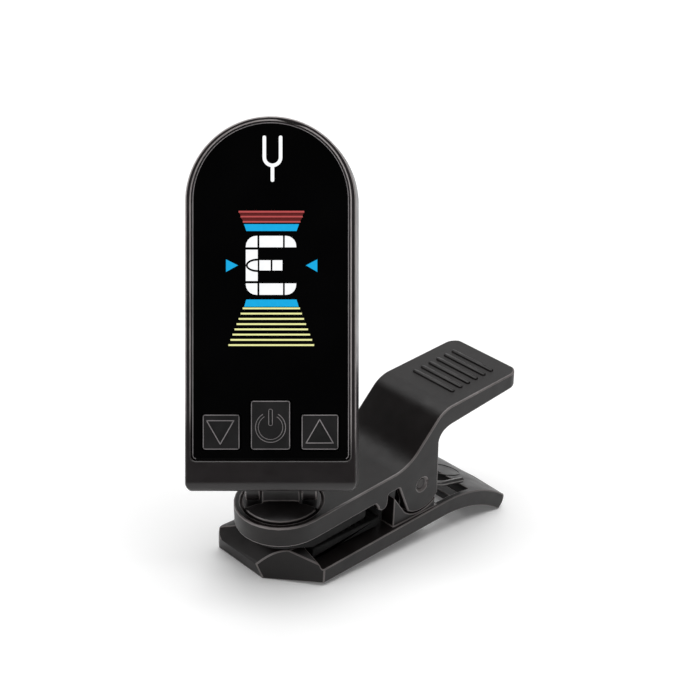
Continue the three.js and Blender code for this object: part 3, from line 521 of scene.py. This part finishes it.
# Back of the head: turning marks on the battery cap and ridges on the case.
marks = bmesh.new()
for turn in (35, 215):
    shaft = arc(0, CELL_HEIGHT, 9.4, turn - 14, turn + 12, 8)
    shaft += arc(0, CELL_HEIGHT, 8.9, turn + 12, turn - 14, 8)
    add_plate(marks, shaft, HEAD_BACK - 0.05, HEAD_BACK + 0.08)
    tip = math.radians(turn + 19)
    root = math.radians(turn + 11)
    add_plate(
        marks,
        [
            (10.05 * math.cos(root), CELL_HEIGHT + 10.05 * math.sin(root)),
            (9.15 * math.cos(tip), CELL_HEIGHT + 9.15 * math.sin(tip)),
            (8.25 * math.cos(root), CELL_HEIGHT + 8.25 * math.sin(root)),
        ],
        HEAD_BACK - 0.05,
        HEAD_BACK + 0.08,
    )
solid_from("cap_turning_marks", marks, HEAD, SHELL, "battery_cap", smooth=False)
ridges = bmesh.new()
for row in range(4):
    z = 46.6 + row * 1.5
    add_plate(ridges, rounded(-5.2, 5.2, z, z + 0.7, (0.34,) * 4), HEAD_BACK - 0.05, HEAD_BACK + 0.14)
solid_from("back_ridges", ridges, HEAD, SHELL, "head", smooth=False)

# ---- swivel, clip and spring ----------------------------------------------------------

finish_node("turntable", SHELL, 0.16, 3, edge=EDGE_HIGHLIGHT)
finish_node("friction_washer", STEEL, 0.06, 2)
finish_node("swivel_screw", STEEL, 0.1, 2)
finish_node("upper_jaw", CLIP, 0.3, 3, edge=EDGE_HIGHLIGHT)
finish_node("lower_jaw", CLIP, 0.2, 3, edge=JAW_EDGE_HIGHLIGHT, merge=0.1)
finish_node("upper_pad", RUBBER, 0.3, 3)
finish_node("lower_pad", RUBBER, 0.3, 3)
finish_node("pivot_pin", PIN_STEEL, 0.2, 3)

# Grip ribs on the handle.
ribs = bmesh.new()
RIB_COUNT = 6
for i in range(RIB_COUNT):
    x = 10.6 + i * 2.1
    half = 5.2
    outline = rounded(x, x + 1.0, -half, half, (0.49,) * 4, 6)
    bottom = [ribs.verts.new((px, py, HANDLE_TOP - 0.1)) for px, py in outline]
    rim = [ribs.verts.new((px, py, HANDLE_TOP + 0.12)) for px, py in outline]
    centre = Vector((x + 0.5, 0, 0))
    crown = []
    for px, py in outline:
        inset = Vector((px, py, 0)) - centre
        crown.append(ribs.verts.new((centre.x + inset.x * 0.6, py * 0.975, HANDLE_TOP + 0.28)))
    count = len(outline)
    ribs.faces.new(list(reversed(bottom)))
    ribs.faces.new(crown)
    for j in range(count):
        k = (j + 1) % count
        ribs.faces.new((bottom[j], bottom[k], rim[k], rim[j]))
        ribs.faces.new((rim[j], rim[k], crown[k], crown[j]))
solid_from("grip_ribs", ribs, ARM, CLIP, "upper_jaw")

# Raised ring on the tail, where the thumb presses.
TAIL_BEND = 8.0
PLATE_REAR = 3.2
tail_run, tail_drop = 24.6 - TAIL_BEND, PLATE_REAR + 2.8
TAIL_RADIUS = (tail_run**2 + tail_drop**2) / (2 * tail_drop)


def tail_height(x):
    return PLATE_REAR - TAIL_RADIUS + math.sqrt(TAIL_RADIUS**2 - (x - TAIL_BEND) ** 2)


ring = bmesh.new()
RING_STEPS = 48
SECTION = ((-0.3, -0.08), (-0.14, 0.09), (0.14, 0.09), (0.3, -0.08))
loops = []
for i in range(RING_STEPS):
    turn = 2 * math.pi * i / RING_STEPS
    loop = []
    for out, rise in SECTION:
        x = 16.4 + (3.4 + out) * math.cos(turn)
        y = 0.6 + (2.5 + out) * math.sin(turn)
        loop.append(ring.verts.new((x, y, tail_height(x) + rise)))
    loops.append(loop)
for i in range(RING_STEPS):
    here, there = loops[i], loops[(i + 1) % RING_STEPS]
    for j in range(len(SECTION)):
        k = (j + 1) % len(SECTION)
        ring.faces.new((here[j], here[k], there[k], there[j]))
solid_from("thumb_ring", ring, JAW, CLIP, "lower_jaw")


RIB_SIDES = 6
RIB_HALF = 0.42


def cross_ribs(name, place, first, last, count, half, face, rise, body):
    """Half-round rubber ribs across a pad, from x = first to last, standing off its face."""
    work = bmesh.new()
    for i in range(count):
        x = first + (last - first) * i / (count - 1)
        ends = []
        for y in (-half, half):
            ends.append([
                work.verts.new((x + RIB_HALF * math.cos(a), y, face + rise * math.sin(a)))
                for a in (math.pi * k / RIB_SIDES for k in range(RIB_SIDES + 1))
            ])
        work.faces.new(ends[0])
        work.faces.new(list(reversed(ends[1])))
        for j in range(RIB_SIDES + 1):
            k = (j + 1) % (RIB_SIDES + 1)
            work.faces.new((ends[0][j], ends[1][j], ends[1][k], ends[0][k]))
    return solid_from(name, work, place, RUBBER, body)


cross_ribs("lower_pad_ribs", JAW, -23.5, -10.5, 9, 6.0, 5.17, 0.16, "lower_jaw")
cross_ribs("upper_pad_ribs", ARM, -24.0, -14.0, 7, 6.0, -2.07, -0.16, "upper_jaw")

# Round-wire torsion spring about the pin.
WIRE = 1.1
THIN_SHARE = 0.94
COIL_RADIUS = 2.5
COIL_TURNS = 7
COIL_PITCH = 1.22
half_length = COIL_TURNS * COIL_PITCH / 2
lower_foot = Vector((13.5, -5.9, 2.65 - PIN_HEIGHT))
upper_foot = Vector((12.6, half_length, 9.35))


def tangent(foot, side):
    return math.atan2(foot.z, foot.x) + side * math.acos(COIL_RADIUS / math.hypot(foot.x, foot.z))


def on_coil(angle, y):
    return Vector((COIL_RADIUS * math.cos(angle), y, COIL_RADIUS * math.sin(angle)))


coil_start = tangent(lower_foot, -1)
part_turn = math.fmod(coil_start - tangent(upper_foot, 1), 2 * math.pi) + 2 * math.pi
sweep = -2 * math.pi * (COIL_TURNS - 1) - math.fmod(part_turn, 2 * math.pi)
coil_first = on_coil(coil_start, -half_length)
step_out = lower_foot.lerp(coil_first, 0.35)
step_out.y = lower_foot.y
clear_of_ear = lower_foot.lerp(coil_first, 0.6)
clear_of_ear.y = -half_length
leg = []
LEG_STEPS = 10
for i in range(LEG_STEPS + 1):
    share = i / LEG_STEPS
    ease = share * share * (3 - 2 * share)
    at = step_out.lerp(clear_of_ear, share)
    at.y = step_out.y + (clear_of_ear.y - step_out.y) * ease
    leg.append(at)
coil = []
TURN_STEPS = 24
STEPS = COIL_TURNS * TURN_STEPS
for i in range(STEPS + 1):
    share = i / STEPS
    coil.append(on_coil(coil_start + sweep * share, -half_length + 2 * half_length * share))


def spring_wire(name, centreline, body, thinned=0):
    """Round wire through the points; the last few can be thinned to slip inside the next length."""
    wire = bpy.data.curves.new(name, "CURVE")
    wire.dimensions = "3D"
    wire.bevel_depth = WIRE / 2 * MM
    wire.bevel_resolution = 3
    wire.use_fill_caps = True
    spline = wire.splines.new("POLY")
    spline.points.add(len(centreline) - 1)
    for point, place in zip(spline.points, centreline):
        point.co = (*(ARM @ place), 1)
    for point in list(spline.points)[len(centreline) - thinned :]:
        point.radius = THIN_SHARE
    wire.materials.append(DARK_STEEL.material)
    piece = bpy.data.objects.new(name, wire)
    bpy.context.scene.collection.objects.link(piece)
    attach(piece, body)
    return piece


# The last turn and the upper leg follow the handle, and the rest stays with the lower jaw.
LAST_TURN = STEPS - TURN_STEPS
OVERLAP = 3
lower_wire = [lower_foot] + leg + coil[: LAST_TURN + OVERLAP + 1]
spring = spring_wire("torsion_spring_wire", lower_wire, "lower_jaw", OVERLAP + 1)
spring_wire("torsion_spring_upper_leg", coil[LAST_TURN:] + [upper_foot], "upper_jaw")
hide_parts("torsion_spring")

# ---- floor, light and camera ----------------------------------------------------------

floor_mesh = bpy.data.meshes.new("floor")
FLOOR = 3.0  # half its width, in metres
floor_corners = [(-FLOOR, -FLOOR, 0), (FLOOR, -FLOOR, 0), (FLOOR, FLOOR, 0), (-FLOOR, FLOOR, 0)]
floor_mesh.from_pydata(floor_corners, [], [(0, 1, 2, 3)])
floor = bpy.data.objects.new("floor", floor_mesh)
bpy.context.scene.collection.objects.link(floor)
paper = Surface("white_paper").put(Roughness=0.9, Emission_Strength=0.1)
paper.shader.inputs["Emission Color"].default_value = (1, 1, 1, 1)
paper.colours(paper.noise(6, 2), (0.95, 0.95, 0.95), (0.97, 0.97, 0.97))
floor_mesh.materials.append(paper.material)

world = bpy.data.worlds.new("studio")
bpy.context.scene.world = world
world.use_nodes = True
world.node_tree.nodes["Background"].inputs["Color"].default_value = (1, 1, 1, 1)
world.node_tree.nodes["Background"].inputs["Strength"].default_value = 0.12


def softbox(name, place, size, power, target=(0, 0, 0.03)):
    data = bpy.data.lights.new(name, "AREA")
    data.shape = "RECTANGLE"
    data.size, data.size_y = size
    data.energy = power
    light = bpy.data.objects.new(name, data)
    light.location = place
    light.rotation_mode = "QUATERNION"
    light.rotation_quaternion = (Vector(target) - Vector(place)).to_track_quat("-Z", "Y")
    bpy.context.scene.collection.objects.link(light)
    return light


softbox("overhead", (0.05, 0.1, 1.2), (1.5, 1.5), 18.5)
softbox("back_right", (0.55, 0.55, 0.5), (0.6, 0.6), 0.6)
softbox("left_side", (-0.7, 0.15, 0.3), (0.4, 0.6), 1.6)
softbox("low_back", (0.78, 0.66, 0.2), (0.5, 0.25), 0.7)

# The camera's axes and place, in the frame of the clip's arm.
CAMERA_PLACE = Vector((-164.43, -164.0, 162.06))
LENS_LENGTH = 78.2
right = Vector((0.7284, -0.6852, 0))
up = Vector((0.3487, 0.3707, 0.8608))
back = Vector((-0.5898, -0.6270, 0.5089))
aim = Matrix((right, up, back)).transposed().to_4x4()
lens = bpy.data.cameras.new("camera")
lens.sensor_width = 36
lens.lens = LENS_LENGTH
lens.clip_start = 0.01
camera = bpy.data.objects.new("camera", lens)
camera.matrix_world = Matrix.Translation(ARM @ CAMERA_PLACE) @ turned(-ARM_PITCH, "Y") @ aim
bpy.context.scene.collection.objects.link(camera)
bpy.context.scene.camera = camera
bpy.context.scene.view_settings.view_transform = "Standard"

bpy.context.view_layer.update()
